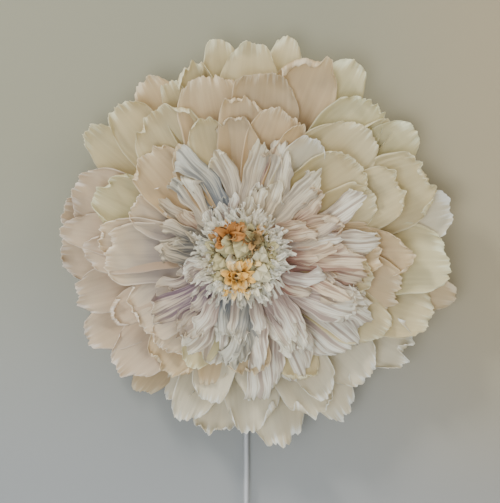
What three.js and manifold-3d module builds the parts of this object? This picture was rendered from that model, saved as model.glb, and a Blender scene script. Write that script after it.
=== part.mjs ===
// Giant paper flower for a wall: rings of crepe paper petals glued round a core on a plywood
// disc, a fringed heart, and a mains lead that hangs from the bottom of the disc.
// Millimetres, +Z up. The wall is the plane y = 0 and the flower faces -Y, so a height off the
// wall is -y. The origin is the centre of the disc's back face.
import * as THREE from "three";
import { mergeVertices } from "three/addons/utils/BufferGeometryUtils.js";
import Module from "manifold-3d";

const wasm = await Module();
wasm.setup();

// Fits
const SEAT_GAP = 0.3;
const LAYER_GAP = 1.5;
const SIDE_GAP = 0.6;

// Backing disc and its keyhole hanger
const DISC_RADIUS = 95;
const DISC_THICK = 12;
const HANGER = { width: 64, height: 26, thick: 1.6, up: 55, pocket: 4, screwSpan: 48 };
const NAIL_ROOM = { width: 24, height: 18, depth: 8 };
const KEYHOLE = { head: 9, slot: 4.2, drop: 8 };
const SCREW = { head: 6, headThick: 1.1, shank: 2.9, length: 9 };

// Core, lamp board and heart pad
const CORE_RADIUS = 34;
const BOARD = { clear: 4, width: 36, thick: 1.6 };
const PAD_CLEAR = 5.1;
const PAD = { radius: 46, thick: 8 };

// Petals
const PAPER = 1.0;
const RING_SPACING = 15;
const BOARD_CLEAR = 5.1;
const DISH_RISE = 36;
const DISH_RADIUS = 290;
const TIP_ROUND = 0.13;
const TIP_NARROW = 0.16;
const ROOT_SHARE = 0.3;
const PETAL_ROWS = 5;
const PETAL_COLUMNS = 6;

// Each petal: direction in degrees from +X, reach from the core's axis, widest span
const OUTER_PETALS = [
  [97, 290, 58],
  [78, 298, 56],
  [60, 298, 70],
  [33, 284, 68],
  [13, 284, 74],
  [-9, 288, 58],
  [-32, 262, 74],
  [-54, 250, 70],
  [-75, 252, 70],
  [-97, 240, 74],
  [-153, 232, 68],
  [180, 241, 70],
  [164, 246, 56],
  [143, 260, 60],
  [118, 268, 60],
];
const MIDDLE_PETALS = [
  [88, 281, 74],
  [71, 286, 80],
  [48, 272, 78],
  [23, 274, 96],
  [0, 270, 92],
  [-19, 261, 78],
  [-40, 233, 78],
  [-66, 236, 64],
  [-84, 232, 68],
  [-107, 226, 56],
  [-138, 222, 72],
  [-167, 224, 56],
  [158, 238, 82],
  [130, 258, 62],
];
const INNER_PETALS = [
  [100, 238, 96],
  [80, 240, 86],
  [47, 234, 88],
  [25, 234, 76],
  [4, 226, 62],
  [-11, 210, 80],
  [-27, 214, 70],
  [-126, 184, 70],
  [157, 210, 74],
  [124, 224, 90],
];

// Frills: fringed crepe strips wound round the core, over the petals
const FRILL_SECTORS = 40;
const FRILLS = [
  { name: "lower_frill", level: 4, reach: 142, lobe: 22, lobeAt: -25, wave: 7, waves: 9 },
  { name: "upper_frill", level: 4.75, reach: 112, lobe: 10, lobeAt: -50, wave: 6, waves: 11 },
];

// Heart: stamen fringe round the pad, paper tufts and carpels on it
const FRINGE = { width: 20, flare: 20, root: 6, tip: 2, foot: 4 };
const TUFTS = [
  { name: "upper_tuft", x: -15, z: 27, width: 36, depth: 22, height: 20 },
  { name: "side_tuft", x: 16.5, z: 23, width: 18, depth: 24, height: 17 },
  { name: "lower_tuft", x: -5, z: -25, width: 34, depth: 30, height: 21 },
];
const CARPELS = [
  { name: "carpel_1", x: -24, z: 4, width: 18, depth: 12, height: 17 },
  { name: "carpel_2", x: -1, z: 4, width: 17, depth: 14, height: 19 },
  { name: "carpel_3", x: 24, z: -20, width: 17, depth: 18, height: 16 },
];

// Mains lead: strain relief, free cord, flat coil of the spare length, tie and plug
const CORD_DIAMETER = 6.8;
const CORD_SIDES = 10;
const CORD_STEPS = 18;
const CORD_X = 5;
const GLAND = { length: 32, wall: 1, taper: 1.2 };
const COIL = { y: -14, turns: 3, middle: 38.4, slack: 0.2 };
const TURN_GAP = 0.1;
const LEAD_SLANT = 0.57;
const TIE = { width: 9, thick: 1.2 };
const PLUG = { width: 34, thick: 14, length: 34, tail: 22, pin: 4, pinLength: 19, pinSpan: 19 };
// The free cord's route from the strain relief down to the coil: x, y, drop below the relief
const CORD_ROUTE = [
  [5, -6.2, 0],
  [5, -6.3, 17.4],
  [5.1, -6.8, 42.4],
  [5.3, -7.4, 72.4],
  [5.5, -8.2, 107.4],
  [5.7, -9.0, 142.4],
  [5.7, -9.8, 177.4],
  [5.4, -10.3, 207.4],
  [3.6, -10.5, 222.4],
  [-1.9, -10.5, 233],
];

const COLOURS = {
  plywood: 0xb99a6b,
  steel: 0x9a9c9e,
  foam: 0xd8d5c4,
  board: 0xe8e8e0,
  ivory: 0xe4ddc9,
  peach: 0xdfc9b4,
  pale: 0xdcdcd2,
  frill: 0xe2e0e4,
  fringe: 0xf2eedd,
  rust: 0xa4562a,
  amber: 0xd08a3c,
  green: 0xc3c7a4,
  cord: 0xe6e6e6,
  plastic: 0xececea,
};

const flower = new THREE.Group();

function addPiece(name, geometry, colour, roughness = 0.85, metalness = 0) {
  const finish = new THREE.MeshStandardMaterial({ color: colour, roughness, metalness });
  const mesh = new THREE.Mesh(geometry, finish);
  mesh.name = name;
  flower.add(mesh);
  return mesh;
}

// Solid helpers

function toSolid(geometry) {
  const bare = geometry.clone();
  bare.deleteAttribute("normal");
  bare.deleteAttribute("uv");
  const merged = mergeVertices(bare, 1e-4);
  return new wasm.Manifold(
    new wasm.Mesh({
      numProp: 3,
      vertProperties: new Float32Array(merged.attributes.position.array),
      triVerts: new Uint32Array(merged.index.array),
    }),
  );
}

function toGeometry(solid) {
  const mesh = solid.getMesh();
  const geometry = new THREE.BufferGeometry();
  geometry.setAttribute("position", new THREE.BufferAttribute(mesh.vertProperties, 3));
  geometry.setIndex(new THREE.BufferAttribute(mesh.triVerts, 1));
  geometry.computeVertexNormals();
  return geometry;
}

// A box given by its two corners
function boxBetween(low, high) {
  const size = high.map((value, axis) => value - low[axis]);
  const box = new THREE.BoxGeometry(...size);
  box.translate(...high.map((value, axis) => (value + low[axis]) / 2));
  return box;
}

// A cylinder along Y between two heights off the wall
function cylinderOff(radius, fromHeight, toHeight, x, z, sides) {
  const cylinder = new THREE.CylinderGeometry(radius, radius, toHeight - fromHeight, sides);
  cylinder.translate(x, -(fromHeight + toHeight) / 2, z);
  return cylinder;
}

// A profile of [radius, height off the wall], listed outwards along its wall side first, and
// turned about the flower's axis
function turned(profile, sides) {
  const points = profile.map(([radius, height]) => new THREE.Vector2(radius, -height));
  return new THREE.LatheGeometry(points.reverse(), sides);
}

// A paper sheet: a grid of points [x, z, height], given PAPER of thickness towards the front.
// Where it wraps, its last column is its first one.
function paperSheet(rows, columns, wraps, pointAt) {
  const across = wraps ? columns : columns + 1;
  const positions = [];
  for (const lift of [0, PAPER]) {
    for (let row = 0; row <= rows; row++) {
      for (let column = 0; column < across; column++) {
        const [x, z, height] = pointAt(row / rows, column / columns);
        positions.push(x, -(height + lift), z);
      }
    }
  }
  const layer = (rows + 1) * across;
  const at = (row, column, side) => side * layer + row * across + (column % across);
  const faces = [];
  const quad = (a, b, c, d) => faces.push(a, b, c, a, c, d);
  for (let row = 0; row < rows; row++) {
    for (let column = 0; column < columns; column++) {
      quad(at(row, column, 0), at(row, column + 1, 0), at(row + 1, column + 1, 0), at(row + 1, column, 0));
      quad(at(row, column, 1), at(row + 1, column, 1), at(row + 1, column + 1, 1), at(row, column + 1, 1));
    }
  }
  for (let column = 0; column < columns; column++) {
    quad(at(0, column, 0), at(0, column, 1), at(0, column + 1, 1), at(0, column + 1, 0));
    quad(at(rows, column, 0), at(rows, column + 1, 0), at(rows, column + 1, 1), at(rows, column, 1));
  }
  if (!wraps) {
    for (let row = 0; row < rows; row++) {
      quad(at(row, 0, 0), at(row + 1, 0, 0), at(row + 1, 0, 1), at(row, 0, 1));
      quad(at(row, columns, 0), at(row, columns, 1), at(row + 1, columns, 1), at(row + 1, columns, 0));
    }
  }
  const geometry = new THREE.BufferGeometry();
  geometry.setAttribute("position", new THREE.Float32BufferAttribute(positions, 3));
  geometry.setIndex(faces);
  geometry.computeVertexNormals();
  return geometry;
}

// Height off the wall of a layer's back face, at a distance from the flower's axis
function layerHeight(level, radius) {
  const first = DISC_THICK + SEAT_GAP + BOARD.thick + BOARD_CLEAR;
  return first + (level - 1) * RING_SPACING + DISH_RISE * (radius / DISH_RADIUS) ** 2;
}

// Backing disc, hanger and screws

function backingDisc() {
  const { width, height, up, pocket, screwSpan } = HANGER;
  const halfWide = width / 2 + SEAT_GAP;
  const halfHigh = height / 2 + SEAT_GAP;
  const nailWide = NAIL_ROOM.width / 2;
  const nailHigh = NAIL_ROOM.height / 2;
  let disc = toSolid(cylinderOff(DISC_RADIUS, 0, DISC_THICK, 0, 0, 72));
  const seat = boxBetween([-halfWide, -pocket, up - halfHigh], [halfWide, 1, up + halfHigh]);
  const room = boxBetween([-nailWide, -NAIL_ROOM.depth, up - nailHigh], [nailWide, 1, up + nailHigh]);
  disc = disc.subtract(toSolid(seat)).subtract(toSolid(room));
  for (const side of [-1, 1]) {
    const x = (side * screwSpan) / 2;
    const hole = cylinderOff(SCREW.shank / 2 + SEAT_GAP, 1, DISC_THICK - 1, x, up, 16);
    disc = disc.subtract(toSolid(hole));
  }
  return toGeometry(disc);
}

function wallHanger() {
  const { width, height, thick, up, pocket, screwSpan } = HANGER;
  const back = -(pocket - SEAT_GAP);
  const plate = boxBetween([-width / 2, back, up - height / 2], [width / 2, back + thick, up + height / 2]);
  let solid = toSolid(plate);
  const near = pocket - SEAT_GAP - thick - 1;
  const far = pocket + 1;
  const entry = up - KEYHOLE.drop / 2;
  const rest = up + KEYHOLE.drop / 2;
  const slotHalf = KEYHOLE.slot / 2;
  solid = solid.subtract(toSolid(cylinderOff(KEYHOLE.head / 2, near, far, 0, entry, 24)));
  solid = solid.subtract(toSolid(cylinderOff(slotHalf, near, far, 0, rest, 24)));
  solid = solid.subtract(toSolid(boxBetween([-slotHalf, -far, entry], [slotHalf, -near, rest])));
  for (const side of [-1, 1]) {
    const x = (side * screwSpan) / 2;
    solid = solid.subtract(toSolid(cylinderOff(SCREW.shank / 2 + SEAT_GAP, near, far, x, up, 16)));
  }
  return toGeometry(solid);
}

// A pan-head screw: head on the plate's outer face, shank through it into the disc
function hangerScrew(side) {
  const top = HANGER.pocket - SEAT_GAP - HANGER.thick - SEAT_GAP;
  const profile = [
    [0, top - SCREW.headThick],
    [SCREW.head / 2, top - SCREW.headThick],
    [SCREW.head / 2, top],
    [SCREW.shank / 2, top],
    [SCREW.shank / 2, top + SCREW.length - SCREW.shank],
    [0, top + SCREW.length],
  ];
  const screw = turned(profile, 18);
  screw.translate((side * HANGER.screwSpan) / 2, 0, HANGER.up);
  return screw;
}

// Core, lamp board and heart pad

const coreFoot = DISC_THICK + SEAT_GAP;
const frontFrill = layerHeight(FRILLS[FRILLS.length - 1].level, PAD.radius);
const coreTop = frontFrill + PAPER + PAD_CLEAR;
const padFoot = coreTop + SEAT_GAP;
const padTop = padFoot + PAD.thick;

function lampBoard() {
  const inner = CORE_RADIUS + BOARD.clear;
  const outer = inner + BOARD.width;
  const far = coreFoot + BOARD.thick;
  return turned(
    [
      [inner, coreFoot],
      [outer, coreFoot],
      [outer, far],
      [inner, far],
      [inner, coreFoot],
    ],
    48,
  );
}

function heartPad() {
  return turned(
    [
      [0, padFoot],
      [PAD.radius - 2, padFoot],
      [PAD.radius, padFoot + 2],
      [PAD.radius, padTop - 2],
      [PAD.radius - 2, padTop],
      [0, padTop],
    ],
    40,
  );
}

// Petals

// Share of a petal's widest span along its length: a narrow root, full near the tip
function bladeShare(along) {
  const swell = Math.sin((Math.PI / 2) * Math.min(1, along / 0.7));
  const tip = Math.max(0, (along - 0.7) / 0.3);
  return (ROOT_SHARE + (1 - ROOT_SHARE) * swell) * (1 - TIP_NARROW * tip ** 2);
}

// One petal on its ring's layer. The room to each side is half the gap to its neighbour.
function petal(level, [direction, reach, span], roomLeft, roomRight) {
  const turn = THREE.MathUtils.degToRad(direction);
  const root = CORE_RADIUS + SEAT_GAP;
  const lift = RING_SPACING - PAPER - LAYER_GAP;
  return paperSheet(PETAL_ROWS, PETAL_COLUMNS, false, (along, across) => {
    const side = 2 * across - 1;
    const rounding = 1 - TIP_ROUND * Math.abs(side) ** 3 * along ** 2;
    const reached = root + (reach - root) * along * rounding;
    const room = reached * Math.tan(side < 0 ? roomRight : roomLeft) - SIDE_GAP;
    const offset = side * Math.min((span / 2) * bladeShare(along), room);
    const x = reached * Math.cos(turn) - offset * Math.sin(turn);
    const z = reached * Math.sin(turn) + offset * Math.cos(turn);
    const cup = lift * (0.6 * side ** 2 * Math.sin(Math.PI * along) + 0.35 * along ** 3);
    return [x, z, layerHeight(level, Math.hypot(reached, offset)) + cup];
  });
}

function addRing(ringName, level, petals, colours) {
  const order = [...petals].sort((a, b) => a[0] - b[0]);
  petals.forEach((shape, index) => {
    const place = order.indexOf(shape);
    const next = order[(place + 1) % order.length][0];
    const last = order[(place + order.length - 1) % order.length][0];
    const toLeft = THREE.MathUtils.euclideanModulo(next - shape[0], 360);
    const toRight = THREE.MathUtils.euclideanModulo(shape[0] - last, 360);
    const geometry = petal(
      level,
      shape,
      THREE.MathUtils.degToRad(Math.min(toLeft, 90) / 2),
      THREE.MathUtils.degToRad(Math.min(toRight, 90) / 2),
    );
    const number = String(index + 1).padStart(2, "0");
    addPiece(`${ringName}_petal_${number}`, geometry, colours[index % colours.length]);
  });
}

// A frill's own outline reaches further on one side and waves round its edge
function frill({ level, reach, lobe, lobeAt, wave, waves }) {
  const root = CORE_RADIUS + SEAT_GAP;
  const lobeTurn = THREE.MathUtils.degToRad(lobeAt);
  return paperSheet(3, FRILL_SECTORS, true, (along, round) => {
    const turn = 2 * Math.PI * round;
    const edge = reach + lobe * Math.cos(turn - lobeTurn) + wave * Math.sin(waves * turn);
    const radius = root + (edge - root) * along;
    return [radius * Math.cos(turn), radius * Math.sin(turn), layerHeight(level, radius)];
  });
}

// Heart

function stamenFringe() {
  const root = PAD.radius + SEAT_GAP;
  const edge = PAD.radius + FRINGE.width;
  const foot = padFoot + 1;
  return turned(
    [
      [root, foot],
      [root + FRINGE.root, foot + FRINGE.foot],
      [edge, foot + FRINGE.flare],
      [edge - FRINGE.tip, foot + FRINGE.flare + FRINGE.tip],
      [root, foot + FRINGE.flare - FRINGE.foot],
      [root, foot],
    ],
    40,
  );
}

// A domed cluster of paper with a flat foot on the pad
function clusterDome({ x, z, width, depth, height }) {
  const profile = [[0, 0]];
  const steps = 5;
  for (let step = 0; step <= steps; step++) {
    const rise = (Math.PI / 2) * (step / steps);
    profile.push([step === steps ? 0 : 0.5 * Math.cos(rise * 0.98), step ? Math.sin(rise) : 0]);
  }
  const dome = turned(profile, 16);
  dome.scale(width, height, depth);
  dome.translate(x, -(padTop + SEAT_GAP), z);
  return dome;
}

// Mains lead

const cordRadius = CORD_DIAMETER / 2;
const reliefLip = cordRadius + GLAND.wall;
const reliefTop = reliefLip + GLAND.taper;
const reliefEnd = -(DISC_RADIUS + SEAT_GAP + GLAND.length);
const cordPitch = CORD_DIAMETER + TURN_GAP;
const coilHalf = (COIL.turns * cordPitch + CORD_DIAMETER) / 2 + COIL.slack;
const coilInner = COIL.middle - coilHalf;
const coilOuter = COIL.middle + coilHalf;
const coilThick = cordPitch + CORD_DIAMETER + 2 * COIL.slack;
// The coil hangs just clear of the end of the free cord, which slants to its rim
const [leadX, , leadDrop] = CORD_ROUTE[CORD_ROUTE.length - 1];
const leadReach = coilOuter + 2 * SEAT_GAP + LEAD_SLANT * cordRadius;
const coilZ = reliefEnd - SEAT_GAP - leadDrop - Math.sqrt(leadReach ** 2 - (leadX - CORD_X) ** 2);

function strainRelief() {
  const relief = new THREE.CylinderGeometry(reliefTop, reliefLip, GLAND.length, 20);
  relief.rotateX(Math.PI / 2);
  relief.translate(CORD_X, CORD_ROUTE[0][1], reliefEnd + GLAND.length / 2);
  return relief;
}

function freeCord() {
  const section = new THREE.Shape();
  section.absarc(0, 0, cordRadius, 0, 2 * Math.PI);
  const start = reliefEnd - SEAT_GAP;
  const points = CORD_ROUTE.map(([x, y, drop]) => new THREE.Vector3(x, y, start - drop));
  return new THREE.ExtrudeGeometry(section, {
    curveSegments: CORD_SIDES / 2,
    steps: CORD_STEPS,
    bevelEnabled: false,
    extrudePath: new THREE.CatmullRomCurve3(points),
  });
}

// The outer shape of the coil: two flat spirals side by side
function cordCoil() {
  const half = coilThick / 2;
  const ring = turned(
    [
      [coilInner, -half],
      [coilOuter, -half],
      [coilOuter, half],
      [coilInner, half],
      [coilInner, -half],
    ],
    48,
  );
  ring.translate(CORD_X, COIL.y, coilZ);
  return ring;
}

// A tie round the coil's section at its right-hand side
function cordTie() {
  const low = coilInner - 2 * SEAT_GAP;
  const high = coilOuter + 2 * SEAT_GAP;
  const deep = coilThick / 2 + SEAT_GAP;
  const halfWide = TIE.width / 2;
  const outside = boxBetween(
    [low - TIE.thick, -deep - TIE.thick, -halfWide],
    [high + TIE.thick, deep + TIE.thick, halfWide],
  );
  const inside = boxBetween([low, -deep, -TIE.width], [high, deep, TIE.width]);
  const band = toGeometry(toSolid(outside).subtract(toSolid(inside)));
  band.translate(CORD_X, COIL.y, coilZ);
  return band;
}

// Two-pin plug that hangs beside the coil, on the cord's end
function mainsPlug() {
  const lastTurn = coilOuter - cordRadius - COIL.slack;
  const clear = coilOuter + 2 * SEAT_GAP;
  const drop = Math.sqrt(clear ** 2 - (lastTurn - reliefLip) ** 2);
  const x = CORD_X - lastTurn;
  const y = COIL.y - cordPitch / 2;
  const top = coilZ - drop;
  const tail = new THREE.CylinderGeometry(reliefLip, reliefTop + 1, PLUG.tail, 16);
  tail.rotateX(Math.PI / 2);
  tail.translate(x, y, top - PLUG.tail / 2);
  const bodyTop = top - PLUG.tail + 1;
  const outline = new THREE.Shape();
  const shoulder = reliefTop + 2;
  const waist = PLUG.length * 0.45;
  outline.moveTo(-shoulder, 0);
  outline.lineTo(shoulder, 0);
  outline.lineTo(PLUG.width / 2, -waist);
  outline.lineTo(PLUG.width / 2 - 3, -PLUG.length);
  outline.lineTo(-PLUG.width / 2 + 3, -PLUG.length);
  outline.lineTo(-PLUG.width / 2, -waist);
  outline.closePath();
  const body = new THREE.ExtrudeGeometry(outline, { depth: PLUG.thick, bevelEnabled: false });
  body.rotateX(Math.PI / 2);
  body.translate(x, y + PLUG.thick / 2, bodyTop);
  let solid = toSolid(tail).add(toSolid(body));
  for (const side of [-1, 1]) {
    const pin = new THREE.CylinderGeometry(PLUG.pin / 2, PLUG.pin / 2, PLUG.pinLength + 1, 14);
    pin.rotateX(Math.PI / 2);
    const middle = bodyTop - PLUG.length - (PLUG.pinLength - 1) / 2;
    pin.translate(x + (side * PLUG.pinSpan) / 2, y, middle);
    solid = solid.add(toSolid(pin));
  }
  return toGeometry(solid);
}

addPiece("backing_disc", backingDisc(), COLOURS.plywood, 0.8);
addPiece("wall_hanger", wallHanger(), COLOURS.steel, 0.4, 0.9);
addPiece("hanger_screw_1", hangerScrew(-1), COLOURS.steel, 0.4, 0.9);
addPiece("hanger_screw_2", hangerScrew(1), COLOURS.steel, 0.4, 0.9);
addPiece("petal_core", cylinderOff(CORE_RADIUS, coreFoot, coreTop, 0, 0, 60), COLOURS.foam, 0.9);
addPiece("lamp_board", lampBoard(), COLOURS.board, 0.5);
addPiece("heart_pad", heartPad(), COLOURS.green, 0.9);

addRing("outer", 1, OUTER_PETALS, [COLOURS.ivory, COLOURS.pale, COLOURS.peach]);
addRing("middle", 2, MIDDLE_PETALS, [COLOURS.ivory, COLOURS.peach]);
addRing("inner", 3, INNER_PETALS, [COLOURS.pale, COLOURS.ivory]);

for (const shape of FRILLS) addPiece(shape.name, frill(shape), COLOURS.frill);
addPiece("stamen_fringe", stamenFringe(), COLOURS.fringe);
TUFTS.forEach((tuft, index) => {
  addPiece(tuft.name, clusterDome(tuft), index === 2 ? COLOURS.amber : COLOURS.rust);
});
for (const carpel of CARPELS) addPiece(carpel.name, clusterDome(carpel), COLOURS.green);

addPiece("strain_relief", strainRelief(), COLOURS.plastic, 0.5);
addPiece("lamp_cord", freeCord(), COLOURS.cord, 0.45);
addPiece("cord_coil", cordCoil(), COLOURS.cord, 0.45);
addPiece("cord_tie", cordTie(), COLOURS.plastic, 0.5);
addPiece("plug", mainsPlug(), COLOURS.plastic, 0.45);

export default flower;
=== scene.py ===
"""Giant paper flower for a wall: crepe paper petals round a fringed heart, with a mains lead."""
import math
import random

import bmesh
import bpy
from mathutils import Matrix, Vector, noise


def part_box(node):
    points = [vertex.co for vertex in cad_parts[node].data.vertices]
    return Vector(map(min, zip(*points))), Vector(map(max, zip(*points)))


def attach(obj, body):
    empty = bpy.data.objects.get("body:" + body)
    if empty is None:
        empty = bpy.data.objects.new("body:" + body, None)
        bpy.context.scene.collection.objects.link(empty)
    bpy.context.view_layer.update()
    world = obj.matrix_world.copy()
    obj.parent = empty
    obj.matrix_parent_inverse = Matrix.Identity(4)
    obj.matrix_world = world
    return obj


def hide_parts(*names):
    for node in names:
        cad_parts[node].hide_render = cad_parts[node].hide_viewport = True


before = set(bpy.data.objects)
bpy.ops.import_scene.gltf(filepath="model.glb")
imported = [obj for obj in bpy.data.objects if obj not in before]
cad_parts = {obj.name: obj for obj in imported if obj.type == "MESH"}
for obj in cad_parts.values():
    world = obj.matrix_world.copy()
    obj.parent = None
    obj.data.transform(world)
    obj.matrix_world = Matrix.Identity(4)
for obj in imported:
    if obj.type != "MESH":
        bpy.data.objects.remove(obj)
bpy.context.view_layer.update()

bl_info = {
    "name": "Giant Paper Flower",
    "version": (1, 0, 0),
    "blender": (4, 5, 0),
    "location": "3D View > Sidebar > Paper Flower",
    "description": "Builds a giant wall flower of crepe paper on its packed frame",
    "category": "Object",
}

# Measures in millimetres are turned into the scene's metres with this
MM = 0.001

BODY = "root"

# The wall side of the frame is y = 0 and the flower faces -Y
CORE_LOW, CORE_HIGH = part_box("petal_core")
CORE_RADIUS = (CORE_HIGH.x - CORE_LOW.x) / 2
PAD_LOW, PAD_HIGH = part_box("heart_pad")
PAD_RADIUS = (PAD_HIGH.x - PAD_LOW.x) / 2
# The pad is crowned by this much, and what stands on it starts just inside its skin
PAD_CROWN = 1.2 * MM
HEART_FOOT = -PAD_LOW.y - PAD_CROWN
COIL_LOW, COIL_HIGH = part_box("cord_coil")
PLUG_LOW, PLUG_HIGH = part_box("plug")
SEAT_GAP = 0.3 * MM

# Petals. Each one: direction in degrees from +X, reach from the axis and widest span in
# millimetres, its paper, and how ragged its rim is
OUTER_PETALS = [
    (97, 290, 58, "ivory", 0.5),
    (78, 298, 56, "ivory", 0.8),
    (60, 298, 70, "sage", 0.5),
    (33, 284, 68, "sage", 0.4),
    (13, 284, 74, "pearl", 0.8),
    (-9, 288, 58, "mauve", 0.6),
    (-32, 262, 74, "pearl", 1.2),
    (-54, 250, 70, "pearl", 1.5),
    (-75, 252, 70, "pearl", 1.6),
    (-97, 240, 74, "pearl", 1.2),
    (-153, 232, 68, "mist", 1.0),
    (180, 241, 70, "mist", 0.8),
    (164, 246, 56, "mist", 1.0),
    (143, 260, 60, "ivory", 1.2),
    (118, 268, 60, "blush", 0.8),
]
MIDDLE_PETALS = [
    (88, 281, 74, "ivory", 0.7),
    (71, 286, 80, "blush", 0.7),
    (48, 272, 78, "sage", 1.2),
    (23, 274, 96, "ivory", 1.2),
    (0, 270, 92, "sage", 0.9),
    (-19, 261, 78, "ivory", 1.1),
    (-40, 233, 78, "pearl", 1.0),
    (-66, 236, 64, "pearl", 0.9),
    (-84, 232, 68, "pearl", 1.2),
    (-107, 226, 56, "pearl", 1.2),
    (-138, 222, 72, "mist", 1.0),
    (-167, 224, 56, "mist", 1.2),
    (158, 238, 82, "mist", 0.8),
    (130, 258, 62, "ivory", 1.2),
]
INNER_PETALS = [
    (100, 238, 96, "blush", 1.0),
    (80, 240, 86, "mauve", 0.9),
    (47, 234, 88, "ivory", 1.0),
    (25, 234, 76, "ivory", 1.0),
    (4, 226, 62, "blush", 1.0),
    (-11, 210, 80, "blush", 1.3),
    (-27, 214, 70, "ivory", 1.0),
    (-126, 184, 70, "blush", 1.3),
    (157, 210, 74, "sage", 0.6),
    (124, 224, 90, "ivory", 0.8),
]
RINGS = {"outer": OUTER_PETALS, "middle": MIDDLE_PETALS, "inner": INNER_PETALS}
# Loose petals between the rings, each with its level first, and the short ones at the heart
LOOSE_PETALS = [
    (1.5, 43, 270, 42, "ivory", 1.4),
    (1.5, -116, 215, 44, "pearl", 1.0),
    (1.4, -127, 225, 46, "mauve", 0.9),
    (1.5, 106.5, 268, 54, "ivory", 0.9),
    (2.5, -58, 216, 50, "pearl", 1.2),
    (2.5, 171, 236, 50, "mist", 1.0),
    (2.5, 112, 248, 42, "ivory", 1.2),
    (3.4, -61, 187, 52, "ivory", 1.5),
    (3.4, -83, 185, 58, "pearl", 1.2),
    (3.4, -105, 193, 52, "pearl", 1.0),
    (3.4, -157, 193, 42, "mist", 1.0),
    (3.4, 177, 208, 50, "mist", 1.0),
]
HEART_PETALS = [
    (3.6, 90, 213, 56, "blush", 1.0),
    (3.75, 106.5, 191, 48, "ivory", 1.3),
    (3.95, 92, 187, 54, "mauve", 1.0),
    (3.8, 77, 199, 64, "blush", 1.2),
    (4.0, 68, 193, 28, "blush", 1.0),
    (3.7, 41, 196, 78, "ivory", 1.3),
    (3.6, 22, 190, 60, "ivory", 1.0),
    (3.8, 5, 183, 68, "blush", 1.2),
    (3.7, -37, 186, 80, "milk", 1.7),
    (3.7, -62, 176, 60, "milk", 1.4),
    (3.9, -88, 155, 56, "blush", 1.4),
    (3.7, -105, 174, 40, "blush", 1.2),
    (3.85, -113, 157, 44, "sage", 1.2),
    (4.0, -103, 146, 44, "milk", 1.3),
    (3.8, -130, 160, 56, "haze", 1.2),
    (3.7, -151, 165, 84, "haze", 1.0),
    (3.8, 176, 177, 76, "haze", 1.3),
    (3.65, 150, 161, 62, "haze", 1.1),
    (3.7, 134, 187, 66, "blush", 1.0),
    (3.95, 130, 142, 40, "blush", 1.2),
    (3.9, 168, 193, 52, "haze", 1.1),
    (3.85, -9, 174, 52, "ivory", 1.2),
    (3.95, 58, 180, 48, "pearl", 1.1),
    (3.95, 116, 168, 50, "mauve", 1.2),
]
# Long strips of the two frills that show one by one: direction, reach, span, level, paper
LONG_STRIPS = [
    (122, 134, 26, 4.4, "frost"),
    (106, 156, 30, 4.65, "frost"),
    (94, 146, 29, 4.4, "snow"),
    (85, 154, 34, 4.6, "snow"),
    (72, 150, 31, 4.4, "rose"),
    (61, 160, 36, 4.5, "snow"),
    (49, 156, 34, 4.7, "snow"),
    (38, 140, 31, 4.3, "rose"),
    (27, 150, 34, 4.6, "rose"),
    (18, 176, 36, 4.5, "milk"),
    (9, 186, 39, 4.3, "milk"),
    (1, 158, 34, 4.7, "rose"),
    (-9, 168, 34, 4.4, "rose"),
    (-17, 188, 60, 4.2, "milk"),
    (-27, 176, 44, 4.5, "milk"),
    (-37, 166, 42, 4.4, "milk"),
    (-46, 146, 34, 4.6, "milk"),
    (-57, 158, 36, 4.3, "milk"),
    (-68, 182, 60, 4.2, "milk"),
    (-76, 146, 31, 4.6, "milk"),
    (-86, 130, 29, 4.7, "frost"),
    (-97, 146, 34, 4.4, "frost"),
    (-112, 140, 36, 4.5, "milk"),
    (-126, 134, 34, 4.3, "lilac"),
    (-142, 146, 36, 4.75, "lilac"),
    (-156, 116, 22, 4.3, "lilac"),
    (-174, 112, 20, 4.6, "dusk"),
    (166, 112, 22, 4.4, "dusk"),
    (156, 118, 20, 4.6, "dusk"),
    (146, 136, 22, 4.3, "dusk"),
    (134, 132, 31, 4.6, "snow"),
]

# The lead's route from the relief, x y z in millimetres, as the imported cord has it
CORD_ROUTE = [
    (5, -6.2, -127.6),
    (5, -6.3, -145),
    (5.1, -6.8, -170),
    (5.3, -7.4, -200),
    (5.5, -8.2, -235),
    (5.7, -9.0, -270),
    (5.7, -9.8, -305),
    (5.4, -10.3, -335),
    (3.6, -10.5, -350),
    (-1.9, -10.5, -360.6),
]


def linear(red, green, blue):
    """A screen colour, 0 to 255, as the linear values that sockets take."""
    values = [channel / 255 for channel in (red, green, blue)]
    return tuple(v / 12.92 if v <= 0.04045 else ((v + 0.055) / 1.055) ** 2.4 for v in values)


def colour_property(name, description, screen):
    return bpy.props.FloatVectorProperty(
        name=name, description=description, default=linear(*screen), subtype="COLOR", min=0, max=1
    )


def length_property(name, description, millimetres):
    return bpy.props.FloatProperty(
        name=name, description=description, default=millimetres * MM, unit="LENGTH", min=0
    )


class FlowerPaperSettings(bpy.types.PropertyGroup):
    ring_spacing: length_property("Ring spacing", "Height from one ring of petals to the next", 15)
    first_ring: length_property("First ring", "Height of the outer ring's roots off the wall", 19)
    dish_rise: length_property("Dish rise", "How far petals lean off the wall", 36)
    dish_radius: length_property("Dish radius", "Where the dish rise holds", 290)
    sheet_thick: length_property("Sheet thickness", "Thickness of a stiffened crepe sheet", 0.5)
    ragged: length_property("Ragged rim", "How far a torn rim wanders in and out", 3.4)
    ruffle: length_property("Ruffle", "Height of the crimps along a rim", 5.0)
    fold: length_property("Folds", "Height of the soft folds along a petal", 2.4)
    pleat: length_property("Frill pleats", "Height of the pleats along a frill strip", 0.8)


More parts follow.
